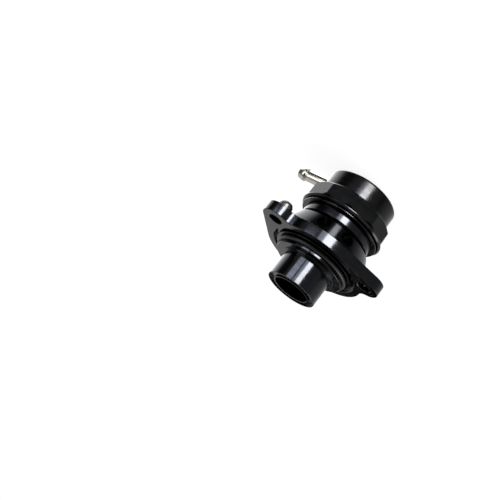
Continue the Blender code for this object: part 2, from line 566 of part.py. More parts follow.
def make_piston(alloy, rubber, bronze, steel, piston_origin):
    guide_floor = PISTON_RADIUS - GUIDE_THICKNESS
    seal_floor = PISTON_BORE_RADIUS - 2 * PISTON_SEAL_RADIUS - 2 * SEAL_GAP
    nose_foot = PISTON_FACE_Z + SEAT_GAP + SEAT_CHAMFER
    nose_end = PISTON_FACE_Z + NOSE_HEIGHT
    seal_middle = nose_foot + NOSE_SEAL_RADIUS + SEAL_GAP
    seal_end = seal_middle + NOSE_SEAL_RADIUS + SEAL_GAP
    screw_hole = SCREW_RADIUS + SEAL_GAP
    inside = PISTON_FLOOR_Z
    profile = [(PISTON_CUP_RADIUS, PISTON_TOP_Z, 0.3 * MM), (PISTON_RADIUS, PISTON_TOP_Z, 0.5 * MM)]
    profile += groove(guide_floor, guide_height(0), GUIDE_WIDTH / 2)
    profile += groove(seal_floor, seal_height(), PISTON_SEAL_RADIUS + SEAL_GAP)
    profile += groove(guide_floor, guide_height(1), GUIDE_WIDTH / 2)
    profile += [
        (PISTON_RADIUS, PISTON_FACE_Z, 0.5 * MM),
        (NOSE_RADIUS, PISTON_FACE_Z, 0),
        (NOSE_RADIUS, nose_foot, 0.2 * MM),
        (NOSE_RADIUS - 2 * NOSE_SEAL_RADIUS, nose_foot, 0),
        (NOSE_RADIUS - 2 * NOSE_SEAL_RADIUS, seal_end, 0),
        (RETAINER_RADIUS - NOSE_STEP, seal_end, 0),
        (RETAINER_RADIUS - NOSE_STEP, nose_end, 0),
        (screw_hole, nose_end, 0),
        (screw_hole, inside + 1.2 * MM, 0),
        (0, inside + 1.2 * MM, 0),
        (0, inside, 0),
        (PISTON_CUP_RADIUS, inside, 0.15 * MM),
    ]
    parts = [turned("piston", profile, PISTON_SEGMENTS, alloy)]
    guide_inner = guide_floor + SEAL_GAP
    guide_outer = PISTON_BORE_RADIUS - SEAL_GAP
    half = GUIDE_WIDTH / 2 - SEAL_GAP
    for index, name in enumerate(("guide_ring_upper", "guide_ring_lower")):
        middle = guide_height(index)
        band = [
            (guide_inner, middle - half, 0),
            (guide_outer, middle - half, 0),
            (guide_outer, middle + half, 0),
            (guide_inner, middle + half, 0),
        ]
        parts.append(turned(name, band, SEAL_SEGMENTS, bronze))
    seal_centre = seal_floor + SEAL_GAP + PISTON_SEAL_RADIUS
    parts.append(ring_seal("piston_seal", seal_centre, PISTON_SEAL_RADIUS, seal_height(), rubber))
    nose_centre = NOSE_RADIUS - NOSE_SEAL_RADIUS + SEAL_GAP
    parts.append(ring_seal("nose_seal", nose_centre, NOSE_SEAL_RADIUS, seal_middle, rubber))
    plate_foot = nose_end + SEAL_GAP
    retainer = [
        (screw_hole, plate_foot, 0),
        (RETAINER_RADIUS, plate_foot, 0),
        (RETAINER_RADIUS, plate_foot + RETAINER_THICKNESS, 0.4 * MM),
        (screw_hole, plate_foot + RETAINER_THICKNESS, 0),
    ]
    parts.append(turned("nose_retainer", retainer, WASHER_SEGMENTS, alloy))
    head_foot = plate_foot + RETAINER_THICKNESS + SEAL_GAP
    head_end = head_foot + SCREW_HEAD_HEIGHT
    screw = [
        (0, head_foot - SCREW_LENGTH, 0),
        (SCREW_RADIUS, head_foot - SCREW_LENGTH, 0.3 * MM),
        (SCREW_RADIUS, head_foot, 0),
        (SCREW_HEAD_RADIUS, head_foot, 0.2 * MM),
        (SCREW_HEAD_RADIUS, head_end, 0.4 * MM),
        (0, head_end, 0),
    ]
    screw_part = turned("nose_screw", screw, SMALL_SEGMENTS, steel)
    socket_outline = regular_outline(6, SCREW_SOCKET, 0)
    socket_mesh = prism(socket_outline, head_end - SCREW_HEAD_HEIGHT / 2, head_end + CUTTER_REACH)
    socket = add_object("nose_socket", socket_mesh)
    add_boolean(screw_part, socket, "DIFFERENCE")
    parts.append(screw_part)
    washer_foot = inside - SEAL_GAP
    parts.append(make_washer("spring_seat", washer_foot - SHIM_THICKNESS, washer_foot, steel))
    for part in parts:
        part.parent = piston_origin
        part.matrix_parent_inverse = piston_origin.matrix_world.inverted()


def make_washer(name, low, high, material):
    hole = SPRING_BOSS_RADIUS + SEAT_GAP
    washer = [(hole, low, 0), (SHIM_OUTER_RADIUS, low, 0), (SHIM_OUTER_RADIUS, high, 0), (hole, high, 0)]
    return turned(name, washer, WASHER_SEGMENTS, material)


def make_spring(steel):
    """Open coil with closed ends: its pitch eases to the wire's own thickness over the first and the last turn."""
    shim_foot = CAP_END_WALL + SEAL_GAP
    make_washer("spring_shim", shim_foot, shim_foot + SHIM_THICKNESS, steel)
    low = shim_foot + SHIM_THICKNESS + SEAL_GAP + WIRE_RADIUS
    high = PISTON_FLOOR_Z - 2 * SEAL_GAP - SHIM_THICKNESS - WIRE_RADIUS
    closed = 2.1 * WIRE_RADIUS
    open_turns = SPRING_TURNS - 2
    open_pitch = (high - low - 2 * closed) / open_turns
    curve = bpy.data.curves.new("spring", "CURVE")
    curve.dimensions = "3D"
    curve.bevel_depth = WIRE_RADIUS
    curve.bevel_resolution = 1
    curve.use_fill_caps = True
    spline = curve.splines.new("POLY")
    total = SPRING_TURNS * COIL_SEGMENTS
    spline.points.add(total)
    for k in range(total + 1):
        turn = k / COIL_SEGMENTS
        rise = min(turn, 1) * closed + max(0, min(turn - 1, open_turns)) * open_pitch
        rise += max(0, turn - 1 - open_turns) * closed
        point = polar(SPRING_RADIUS, 2 * math.pi * turn)
        spline.points[k].co = (point.x, point.y, low + rise, 1.0)
    spring = bpy.data.objects.new("spring", curve)
    curve.materials.append(steel)
    bpy.context.scene.collection.objects.link(spring)


def make_insert(steel):
    """Threaded insert pressed into the back of one ear, its rounded head standing proud."""
    head_foot = FLANGE_BACK_Z - SEAT_GAP
    head_end = head_foot - INSERT_HEAD_HEIGHT
    shank = EAR_HOLE_RADIUS - SEAL_GAP
    profile = [(INSERT_BORE_RADIUS, head_end, 0)]
    for inset, depth in INSERT_ROUNDING:
        profile.append((INSERT_HEAD_RADIUS - inset * MM, head_end + depth * MM, 0))
    profile += [
        (INSERT_HEAD_RADIUS, head_foot, 0.2 * MM),
        (shank, head_foot, 0),
        (shank, head_foot + INSERT_SHANK_LENGTH, 0.2 * MM),
        (INSERT_BORE_RADIUS, head_foot + INSERT_SHANK_LENGTH, 0.2 * MM),
    ]
    place = Matrix.Translation(polar(EAR_CIRCLE_RADIUS, EAR_ANGLES[INSERT_EAR]).to_3d())
    turned("ear_insert", profile, SMALL_SEGMENTS, steel, place)


def main():
    clear_scene()
    black = make_material("black_anodised_aluminium", (0.012, 0.013, 0.014), 0.24, 0.7)
    cap_black = make_material("black_anodised_cap", (0.014, 0.015, 0.016), 0.28, 0.7)
    clear = make_material("clear_anodised_aluminium", (0.62, 0.63, 0.65), 0.34, 1.0)
    steel = make_material("stainless_steel", (0.55, 0.54, 0.51), 0.2, 1.0)
    spring_steel = make_material("spring_steel", (0.32, 0.32, 0.34), 0.35, 1.0)
    rubber = make_material("black_rubber", (0.01, 0.01, 0.01), 0.6, 0.0)
    bronze = make_material("bronze_filled_ptfe", (0.32, 0.2, 0.1), 0.5, 0.0)
    fibre = make_material("red_fibre", (0.25, 0.04, 0.03), 0.8, 0.0)

    make_body(black)
    make_cap(cap_black)
    seal_centre = CAP_BORE_RADIUS - SEAL_GAP - CAP_SEAL_RADIUS
    seal_height_z = CAP_SEAL_GROOVE_Z + SEAL_GAP + CAP_SEAL_RADIUS
    ring_seal("cap_seal", seal_centre, CAP_SEAL_RADIUS, seal_height_z, rubber)
    flange_seal_centre = FLANGE_SEAL_GROOVE_RADIUS + SEAL_GAP + FLANGE_SEAL_RADIUS
    flange_seal_z = REGISTER_Z + SEAL_GAP + FLANGE_SEAL_RADIUS
    ring_seal("flange_seal", flange_seal_centre, FLANGE_SEAL_RADIUS, flange_seal_z, rubber)
    make_nipple(steel, fibre)
    piston_origin = bpy.data.objects.new("piston_slide", None)
    piston_origin.location = (0, 0, PISTON_FACE_Z)
    bpy.context.scene.collection.objects.link(piston_origin)
    bpy.context.view_layer.update()
    make_piston(clear, rubber, bronze, spring_steel, piston_origin)
    make_spring(spring_steel)
    make_insert(steel)


main()
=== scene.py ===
import json
import math

import bmesh
import bpy
from mathutils import Matrix, Vector


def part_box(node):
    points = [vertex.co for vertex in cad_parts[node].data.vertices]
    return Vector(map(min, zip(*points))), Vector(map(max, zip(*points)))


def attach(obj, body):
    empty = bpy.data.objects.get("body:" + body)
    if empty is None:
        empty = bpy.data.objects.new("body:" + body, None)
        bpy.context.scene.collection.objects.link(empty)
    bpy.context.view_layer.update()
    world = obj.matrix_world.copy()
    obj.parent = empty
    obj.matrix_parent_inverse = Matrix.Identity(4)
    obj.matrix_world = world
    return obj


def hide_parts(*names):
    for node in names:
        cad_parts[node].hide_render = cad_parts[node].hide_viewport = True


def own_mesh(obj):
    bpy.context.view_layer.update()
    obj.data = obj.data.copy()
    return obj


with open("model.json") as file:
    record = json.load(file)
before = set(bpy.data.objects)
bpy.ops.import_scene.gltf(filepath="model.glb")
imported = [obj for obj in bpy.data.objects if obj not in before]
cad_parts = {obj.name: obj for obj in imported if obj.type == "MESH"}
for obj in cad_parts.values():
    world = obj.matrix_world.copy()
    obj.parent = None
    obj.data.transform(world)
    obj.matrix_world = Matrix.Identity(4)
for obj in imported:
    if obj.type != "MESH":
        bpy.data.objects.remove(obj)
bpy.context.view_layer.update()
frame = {"nodes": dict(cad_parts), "record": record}
mm = 0.001
cutReach = 1.0    # mm that a cutter stands out of what it cuts
rodSegments = 64  # round every drilled hole
bevelSteps = 3
print("frame loaded,", len(frame["nodes"]), "nodes")


# General modelling steps

def deselectAll():
    if bpy.context.mode != "OBJECT":
        bpy.ops.object.mode_set(mode="OBJECT")
    bpy.ops.object.select_all(action="DESELECT")


def pickOnly(obj):
    deselectAll()
    obj.select_set(True)
    bpy.context.view_layer.objects.active = obj


def arcPoints(centre, radius, start, end, steps):
    points = []
    for k in range(steps + 1):
        angle = start + (end - start) * k / steps
        points.append(centre + Vector((math.cos(angle), math.sin(angle))) * radius)
    return points


def roundedPath(corners, steps):
    # corners are (across, along, rounding) in mm; each rounding becomes an arc that touches both edges
    path = []
    count = len(corners)
    for k, (across, along, rounding) in enumerate(corners):
        corner = Vector((across, along))
        if not rounding:
            path.append(corner)
            continue
        before = Vector(corners[k - 1][:2]) - corner
        after = Vector(corners[(k + 1) % count][:2]) - corner
        halfTurn = before.angle(after) / 2
        # two arcs on one edge never meet, as each takes less than half of it
        reach = min(rounding / math.tan(halfTurn), before.length * 0.48, after.length * 0.48)
        radius = reach * math.tan(halfTurn)
        inward = (before.normalized() + after.normalized()).normalized()
        middle = corner + inward * radius / math.sin(halfTurn)
        first = corner + before.normalized() * reach - middle
        last = corner + after.normalized() * reach - middle
        sweep = first.angle_signed(last)
        for step in range(steps + 1):
            spin = Matrix.Rotation(-sweep * step / steps, 2)
            path.append(middle + spin @ first)
    return path


def outward(degrees):
    # the level direction at this angle round the valve's axis
    angle = math.radians(degrees)
    return Vector((math.cos(angle), math.sin(angle), 0))


def startFromPoint(name, place):
    # a plane merged to its middle leaves one vertex, from which an outline is extruded
    deselectAll()
    bpy.ops.mesh.primitive_plane_add(size=2 * mm, location=(0, 0, 0))
    obj = bpy.context.object
    obj.name = name
    obj.data.name = name
    bpy.ops.object.mode_set(mode="EDIT")
    bpy.ops.mesh.select_mode(type="VERT")
    bpy.ops.mesh.select_all(action="SELECT")
    bpy.ops.mesh.merge(type="CENTER")
    bpy.ops.transform.translate(value=place)
    return obj


def extrudeAlong(points):
    for before, after in zip(points, points[1:]):
        bpy.ops.mesh.extrude_region_move(TRANSFORM_OT_translate={"value": after - before})


def closeLoop(first, last):
    mesh = bmesh.from_edit_mesh(bpy.context.object.data)
    for vert in mesh.verts:
        vert.select_set((vert.co - first).length < 1e-7 or (vert.co - last).length < 1e-7)
    mesh.select_flush_mode()
    bmesh.update_edit_mesh(bpy.context.object.data)
    bpy.ops.mesh.edge_face_add()


def turnedPiece(name, corners, segments, steps=3):
    # a section drawn from radius and height, then spun once round the valve's axis
    path = roundedPath(corners, steps)
    points = [Vector((point.x * mm, 0, point.y * mm)) for point in path]
    obj = startFromPoint(name, points[0])
    extrudeAlong(points)
    if points[0].x > 1e-9 or points[-1].x > 1e-9:
        closeLoop(points[0], points[-1])
    bpy.ops.mesh.select_all(action="SELECT")
    bpy.ops.mesh.spin(steps=segments, angle=2 * math.pi, center=(0, 0, 0), axis=(0, 0, 1))
    tidyShell()
    return obj


def tidyShell():
    bpy.ops.mesh.select_all(action="SELECT")
    bpy.ops.mesh.remove_doubles(threshold=1e-6)
    bpy.ops.mesh.dissolve_degenerate(threshold=1e-7)
    bpy.ops.mesh.select_all(action="SELECT")
    bpy.ops.mesh.normals_make_consistent(inside=False)
    bpy.ops.object.mode_set(mode="OBJECT")


def drilledRod(name, radius, start, end):
    # a cylinder primitive laid from start to end, used to drill a hole
    deselectAll()
    along = end - start
    turn = along.to_track_quat("Z", "Y").to_euler()
    bpy.ops.mesh.primitive_cylinder_add(
        vertices=rodSegments, radius=radius, depth=along.length, location=(start + end) / 2, rotation=turn)
    obj = bpy.context.object
    obj.name = name
    placeInMesh(obj)
    return obj


def placeInMesh(obj):
    pickOnly(obj)
    bpy.ops.object.transform_apply(location=True, rotation=True, scale=True)


def combine(target, tool, operation):
    pickOnly(target)
    modifier = target.modifiers.new(tool.name, "BOOLEAN")
    modifier.operation = operation
    modifier.solver = "EXACT"
    modifier.object = tool
    bpy.ops.object.modifier_apply(modifier=modifier.name)
    bpy.data.objects.remove(tool)


def joinTools(tools, name):
    deselectAll()
    for tool in tools:
        tool.select_set(True)
    bpy.context.view_layer.objects.active = tools[0]
    bpy.ops.object.join()
    tools[0].name = name
    return tools[0]


def softenEdges(obj, isRim, width):
    # bevels the edges that isRim picks by place
    pickOnly(obj)
    bpy.ops.object.mode_set(mode="EDIT")
    bpy.ops.mesh.select_all(action="DESELECT")
    bpy.ops.mesh.select_mode(type="EDGE")
    mesh = bmesh.from_edit_mesh(obj.data)
    picked = 0
    for edge in mesh.edges:
        if len(edge.link_faces) == 2 and isRim(edge):
            edge.select_set(True)
            picked += 1
    bmesh.update_edit_mesh(obj.data)
    if picked:
        bpy.ops.mesh.bevel(offset=width * mm, offset_type="OFFSET", segments=bevelSteps, affect="EDGES",
                           clamp_overlap=True)
    bpy.ops.mesh.select_mode(type="VERT")
    tidyShell()
    print("  softened", picked, "edges of", obj.name)


def smooth(obj, angle=30):
    # edges sharper than this angle stay sharp
    pickOnly(obj)
    bpy.ops.object.shade_smooth_by_angle(angle=math.radians(angle))


def weighNormals(obj):
    # large faces set the shading, so that small bevels beside them look crisp
    pickOnly(obj)
    modifier = obj.modifiers.new("weighed normals", "WEIGHTED_NORMAL")
    modifier.keep_sharp = True
    modifier.weight = 80
    bpy.ops.object.modifier_apply(modifier=modifier.name)


def finishPiece(obj, material, node, body):
    obj.data.materials.clear()
    obj.data.materials.append(material)
    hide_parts(node)
    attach(obj, body)
    print("made", obj.name, "for", node)


# Materials

def fromHex(code):
    # sRGB hex to linear colour
    values = [int(code[k:k + 2], 16) / 255 for k in (1, 3, 5)]
    return [v / 12.92 if v <= 0.04045 else ((v + 0.055) / 1.055) ** 2.4 for v in values] + [1.0]


def addNode(tree, kind, settings, links=None):
    node = tree.nodes.new(kind)
    for key, value in settings.items():
        if isinstance(key, int) or key in node.inputs:
            node.inputs[key].default_value = value
        else:
            setattr(node, key, value)
    for key, socket in (links or {}).items():
        tree.links.new(socket, node.inputs[key])
    return node


def startMaterial(name, look):
    material = bpy.data.materials.new(name)
    material.use_nodes = True
    tree = material.node_tree
    shader = tree.nodes["Principled BSDF"]
    shader.inputs["Base Color"].default_value = fromHex(look["colour"])
    shader.inputs["Metallic"].default_value = look["metallic"]
    shader.inputs["Roughness"].default_value = look["roughness"]
    material.diffuse_color = fromHex(look["colour"])
    return material, tree, shader


def addNoise(tree, vector, size, detail, roughness=0.5):
    # size is that of the largest blots, in mm
    settings = {"Scale": 1 / (size * mm), "Detail": detail, "Roughness": roughness}
    return addNode(tree, "ShaderNodeTexNoise", settings, {"Vector": vector}).outputs["Fac"]


def addBump(tree, shader, height, strength, depth):
    bump = addNode(tree, "ShaderNodeBump", {"Strength": strength, "Distance": depth * mm}, {"Height": height})
    tree.links.new(bump.outputs["Normal"], shader.inputs["Normal"])


def varyColour(tree, shader, value, first, second):
    colours = {"data_type": "RGBA", 6: fromHex(first), 7: fromHex(second)}
    tint = addNode(tree, "ShaderNodeMix", colours, {0: value})
    tree.links.new(tint.outputs[2], shader.inputs["Base Color"])


def varyRoughness(tree, shader, value, look, low=0.0, high=1.0):
    # a pattern that runs from low to high moves the roughness to either side of the look's own
    rough = addNode(tree, "ShaderNodeMapRange",
                    {"From Min": low, "From Max": high, "To Min": look["roughness"] - look["roughSpread"],
                     "To Max": look["roughness"] + look["roughSpread"]}, {"Value": value})
    tree.links.new(rough.outputs["Result"], shader.inputs["Roughness"])


def turnedCoordinates(tree, centre, turn):
    # radius and height round the piece's own axis, so that a pattern on them runs in rings
    place = addNode(tree, "ShaderNodeTexCoord", {})
    moved = addNode(tree, "ShaderNodeMapping",
                    {"vector_type": "TEXTURE", "Location": centre, "Rotation": turn},
                    {"Vector": place.outputs["Object"]})
    parts = addNode(tree, "ShaderNodeSeparateXYZ", {}, {"Vector": moved.outputs["Vector"]})
    flat = addNode(tree, "ShaderNodeCombineXYZ", {}, {"X": parts.outputs["X"], "Y": parts.outputs["Y"]})
    radius = addNode(tree, "ShaderNodeVectorMath", {"operation": "LENGTH"}, {0: flat.outputs["Vector"]})
    rings = addNode(tree, "ShaderNodeCombineXYZ", {},
                    {"X": radius.outputs["Value"], "Y": parts.outputs["Z"]})
    return place.outputs["Object"], rings.outputs["Vector"]


def turnedMetal(name, look, centre=(0, 0, 0), turn=(0, 0, 0)):
    # lathe marks run round as fine rings; a broad unevenness keeps the gloss from looking like plastic
    material, tree, shader = startMaterial(name, look)
    place, rings = turnedCoordinates(tree, centre, turn)
    marks = addNoise(tree, rings, look["markPitch"], 2.0, 0.6)
    bands = addNoise(tree, rings, look["bandWidth"], 3.0)
    haze = addNoise(tree, place, look["hazeSize"], 4.0, 0.65)
    mixed = addNode(tree, "ShaderNodeMath", {"operation": "MULTIPLY"}, {0: bands, 1: haze})
    # the product of two noises mostly lies between 0.12 and 0.4
    varyRoughness(tree, shader, mixed.outputs["Value"], look, 0.12, 0.4)
    varyColour(tree, shader, haze, look["colour"], look["colourWorn"])
    addBump(tree, shader, marks, look["markStrength"], look["markDepth"])
    return material


# black anodised aluminium: a dyed oxide skin on turned metal, so it is dark, glossy and mirrors softly
anodisedLook = {
    "colour": "#2E2F31", "colourWorn": "#333437", "metallic": 1.0, "roughness": 0.15, "roughSpread": 0.04,
    "markPitch": 0.45, "markDepth": 0.004, "markStrength": 0.5, "bandWidth": 2.5, "hazeSize": 6.0,
}  # real lathe marks are about 0.1 mm apart; drawn at 0.45 mm so that they show
# the same skin on the milled flats, a little duller because a milled face is rougher
milledLook = dict(anodisedLook, colour="#242525", colourWorn="#2A2B2B", roughness=0.18, markPitch=0.6,
                  markStrength=0.35)
# the cap's skin, over a slightly coarser turning than the body's, so its highlights are softer
capLook = dict(anodisedLook, colour="#2D2D2E", colourWorn="#323233", roughness=0.19)
# polished stainless steel, turned from bar
stainlessLook = {
    "colour": "#D2CEC5", "colourWorn": "#C2BEB5", "metallic": 1.0, "roughness": 0.22, "roughSpread": 0.06,
    "markPitch": 0.3, "markDepth": 0.004, "markStrength": 0.4, "bandWidth": 1.2, "hazeSize": 3.0,
}
# stainless steel of the insert, tumbled, so it is darker and a little dull
insertLook = dict(stainlessLook, colour="#66645F", colourWorn="#5A5854", roughness=0.36)
# hard anodised aluminium, dark grey and satin
hardAnodisedLook = dict(anodisedLook, colour="#4A4B4D", colourWorn="#525355", roughness=0.34,
                        markStrength=0.6)
# zinc plated steel of the washers, the screw and the drawn spring wire
plainSteelLook = dict(stainlessLook, colour="#8F8F92", colourWorn="#7E7E82", roughness=0.3)

blackTurned = turnedMetal("black anodised aluminium, turned", anodisedLook)
blackCap = turnedMetal("black anodised aluminium, coarser turned", capLook)
blackMilled = turnedMetal("black anodised aluminium, milled", milledLook)
hardAnodised = turnedMetal("hard anodised aluminium", hardAnodisedLook)
plainSteel = turnedMetal("zinc plated steel", plainSteelLook)


def rubberMaterial(name, look):
    # nitrile rubber: nearly black, dull under a thin film of oil, with a fine moulded grain
    material, tree, shader = startMaterial(name, look)
    shader.inputs["IOR"].default_value = look["ior"]
    place = addNode(tree, "ShaderNodeTexCoord", {}).outputs["Object"]
    grain = addNoise(tree, place, look["grainSize"], 3.0)
    film = addNoise(tree, place, look["filmSize"], 2.0)
    varyRoughness(tree, shader, film, look)
    addBump(tree, shader, grain, look["grainStrength"], look["grainDepth"])
    return material


def pressedMaterial(name, look):
    # fibre and filled plastic: dull, with a mottled colour
    material, tree, shader = startMaterial(name, look)
    place = addNode(tree, "ShaderNodeTexCoord", {}).outputs["Object"]
    mottle = addNoise(tree, place, look["mottleSize"], 5.0, 0.7)
    varyColour(tree, shader, mottle, look["colour"], look["colourDark"])
    addBump(tree, shader, mottle, look["mottleStrength"], look["mottleDepth"])
    return material


nitrileLook = {
    "colour": "#0E0E0F", "metallic": 0.0, "roughness": 0.42, "roughSpread": 0.12, "ior": 1.52,
    "grainSize": 0.4, "grainStrength": 0.3, "grainDepth": 0.02, "filmSize": 3.0,
}
bronzeLook = {
    "colour": "#8A6A45", "colourDark": "#6E5236", "metallic": 0.0, "roughness": 0.5,
    "mottleSize": 0.5, "mottleStrength": 0.4, "mottleDepth": 0.02,
}
fibreLook = dict(bronzeLook, colour="#7A2A22", colourDark="#5C1E19", roughness=0.7, mottleSize=0.6)

nitrile = rubberMaterial("nitrile rubber, moulded", nitrileLook)
bronzeBand = pressedMaterial("bronze filled PTFE, skived", bronzeLook)
redFibre = pressedMaterial("vulcanised fibre, punched", fibreLook)
print("materials made")


# Heights in mm, from the frame
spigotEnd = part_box("body")[1].z / mm
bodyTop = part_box("body")[0].z / mm
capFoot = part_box("cap")[1].z / mm
for mount in frame["record"]["mounts"]:
    if mount["name"] == "flange_face":
        flangeFace = mount["pos_m"][2] / mm


# Body: one turned blank with an eared plate, bored and drilled
bodyShape = {
    "segments": 192, "spigotRadius": 14.7, "portRadius": 10.2, "portEdge": 0.12, "rootRing": 16.2,
    "rootRingHeight": 0.7, "landRadius": 20.6, "landHeight": 1.8, "sealGroove": 19.7, "sealGap": 2.54,
    "registerRadius": 23.6, "registerHeight": 0.5, "recessRadius": 26.0, "recessDepth": 2.1,
    "recessEdge": 0.25, "flangeRadius": 30.28, "flangeThickness": 6.3, "flangeEdge": 0.35,
    "hubHeight": 9.9, "hubFoot": 28.0, "hubTop": 23.4, "waistRadius": 16.3, "waistHeight": 2.5,
    "ringRadius": 21.3, "ringHeight": 4.7, "neckGroove": 17.56, "neckGrooveWidth": 2.14, "neckRadius": 19.4,
    "pistonBore": 14.0, "boreChamfer": 0.8, "seatDepth": 0.5, "seatChamfer": 1.2, "endGrooveOuter": 14.0,
    "endGrooveInner": 10.85, "endGrooveDepth": 1.5,
}
earShape = {
    "angles": (-150, -25, 90), "circle": 32.65, "radius": 8.35, "fillet": 6.0, "hole": 3.9, "chamfer": 0.3,
    "drillReach": 0.6, "filletSteps": 12, "roundSteps": 36, "plateSteps": 28,
}
ventShape = {"pairs": 3, "firstPair": -86.0, "spread": 35.0, "radius": 3.65, "land": 0.35, "rim": 0.22}


def ventAngles():
    # the vents stand in pairs between the ears
    angles = []
    for k in range(ventShape["pairs"]):
        middle = ventShape["firstPair"] + 360 / ventShape["pairs"] * k
        angles += [middle - ventShape["spread"] / 2, middle + ventShape["spread"] / 2]
    return angles


def flangePath():
    # each ear has a hollow fillet on one side and a straight flank on the other
    path = []
    plate, circle = bodyShape["flangeRadius"], earShape["circle"]
    ear, fillet = earShape["radius"], earShape["fillet"]
    spread = circle ** 2 + (plate + fillet) ** 2 - (ear + fillet) ** 2
    filletTurn = math.acos(spread / (2 * circle * (plate + fillet)))
    flankTurn = math.acos((plate - ear) / circle)
    fullTurn = 2 * math.pi
    angles = [math.radians(angle) for angle in earShape["angles"]]
    for k, angle in enumerate(angles):
        hollow = angle - filletTurn
        earCentre = Vector((math.cos(angle), math.sin(angle))) * circle
        filletCentre = Vector((math.cos(hollow), math.sin(hollow))) * (plate + fillet)
        toEar = earCentre - filletCentre
        bearing = math.atan2(toEar.y, toEar.x)
        fromHub = hollow + math.pi
        sweep = (fromHub - bearing + math.pi) % fullTurn - math.pi
        path += arcPoints(filletCentre, fillet, fromHub, fromHub - sweep, earShape["filletSteps"])
        earStart = bearing + math.pi
        earSweep = (angle + flankTurn - bearing - math.pi) % fullTurn
        path += arcPoints(earCentre, ear, earStart, earStart + earSweep, earShape["roundSteps"])[1:]
        flank = angle + flankTurn
        reach = (angles[(k + 1) % len(angles)] - filletTurn - flank) % fullTurn
        path += arcPoints(Vector((0, 0)), plate, flank, flank + reach, earShape["plateSteps"])[1:-1]
    return path


def extrudedPlate(name, path, low, high, edge):
    points = [Vector((point.x * mm, point.y * mm, low * mm)) for point in path]
    obj = startFromPoint(name, points[0])
    extrudeAlong(points)
    closeLoop(points[0], points[-1])
    bpy.ops.mesh.select_all(action="SELECT")
    bpy.ops.mesh.edge_face_add()
    bpy.ops.mesh.extrude_region_move(TRANSFORM_OT_translate={"value": (0, 0, (high - low) * mm)})
    tidyShell()
    softenEdges(obj, lambda rim: abs(rim.verts[0].co.z - rim.verts[1].co.z) < 1e-7, edge)
    return obj


def makeBody():
    b = bodyShape
    flangeBack = flangeFace - b["flangeThickness"]
    hubEnd = flangeBack - b["hubHeight"]
    waistEnd = hubEnd - b["waistHeight"]
    ringEnd = waistEnd - b["ringHeight"]
    grooveEnd = ringEnd - b["neckGrooveWidth"]
    register = flangeFace + b["registerHeight"]
    land = register + b["sealGap"]
    root = land + b["landHeight"]
    spigotFoot = root + b["rootRingHeight"]
    recessFloor = flangeFace - b["recessDepth"]
    body = turnedPiece("body_billet", [
        (0, bodyTop, 0),
        (b["neckRadius"], bodyTop, 0.5),
        (b["neckRadius"], grooveEnd, 0.1),
        (b["neckGroove"], grooveEnd, 0.2),
        (b["neckGroove"], ringEnd, 0.2),
        (b["ringRadius"], ringEnd, 0.35),
        (b["ringRadius"], waistEnd, 0.35),
        (b["waistRadius"], waistEnd, 0.4),
        (b["waistRadius"], hubEnd, 0.4),
        (b["hubTop"], hubEnd, 0.5),
        (b["hubFoot"], flangeBack, 0),
        (b["hubFoot"], recessFloor, 0),
        (b["registerRadius"], recessFloor, 0.3),
        (b["registerRadius"], register, 0.2),
        (b["sealGroove"], register, 0.15),
        (b["sealGroove"], land, 0.15),
        (b["landRadius"], land, 0.2),
        (b["landRadius"], root, 0.35),
        (b["rootRing"], root, 0.15),
        (b["rootRing"], spigotFoot, 0.2),
        (b["spigotRadius"], spigotFoot, 0.15),
        (b["spigotRadius"], spigotEnd, 0.2),
        (b["endGrooveOuter"], spigotEnd, 0.12),
        (b["endGrooveOuter"], spigotEnd - b["endGrooveDepth"], 0.2),
        (b["endGrooveInner"], spigotEnd - b["endGrooveDepth"], 0.2),
        (b["endGrooveInner"], spigotEnd, 0.12),
        (0, spigotEnd, 0),
    ], b["segments"])
    plate = extrudedPlate("flange_plate", flangePath(), flangeBack, flangeFace, b["flangeEdge"])
    combine(body, plate, "UNION")
    seat = flangeBack - b["seatDepth"]
    core = turnedPiece("body_core", [
        (0, bodyTop - cutReach, 0),
        (b["pistonBore"] + b["boreChamfer"] + cutReach, bodyTop - cutReach, 0),
        (b["pistonBore"], bodyTop + b["boreChamfer"], 0),
        (b["pistonBore"], seat, 0.15),
        (b["portRadius"] + b["seatChamfer"], seat, 0.15),
        (b["portRadius"], seat + b["seatChamfer"], 0.3),
        (b["portRadius"], spigotEnd - b["portEdge"], 0),
        (b["portRadius"] + b["portEdge"] + cutReach, spigotEnd + cutReach, 0),
        (0, spigotEnd + cutReach, 0),
    ], b["segments"])
    combine(body, core, "DIFFERENCE")
    recess = turnedPiece("face_recess", [
        (b["registerRadius"], recessFloor, 0.3),
        (b["recessRadius"], recessFloor, 0.3),
        (b["recessRadius"], flangeFace - b["recessEdge"], 0),
        (b["recessRadius"] + b["recessEdge"] + cutReach, flangeFace + cutReach, 0),
        (b["registerRadius"], flangeFace + cutReach, 0),
    ], b["segments"])
    combine(body, recess, "DIFFERENCE")
    tools = []
    ventHeight = hubEnd + ventShape["land"] + ventShape["radius"]
    lift = Vector((0, 0, ventHeight * mm))
    for angle in ventAngles():
        inside = outward(angle) * (b["pistonBore"] - cutReach) * mm + lift
        outside = outward(angle) * (b["hubFoot"] + cutReach) * mm + lift
        tools.append(drilledRod("vent", ventShape["radius"] * mm, inside, outside))
    for angle in earShape["angles"]:
        tools.append(earDrill(outward(angle) * earShape["circle"] * mm, flangeBack, flangeFace))
    combine(body, joinTools(tools, "body_holes"), "DIFFERENCE")
    softenEdges(body, lambda edge: isVentRim(edge, ventHeight), ventShape["rim"])
    smooth(body)
    weighNormals(body)
    finishPiece(body, blackTurned, "body", "housing")


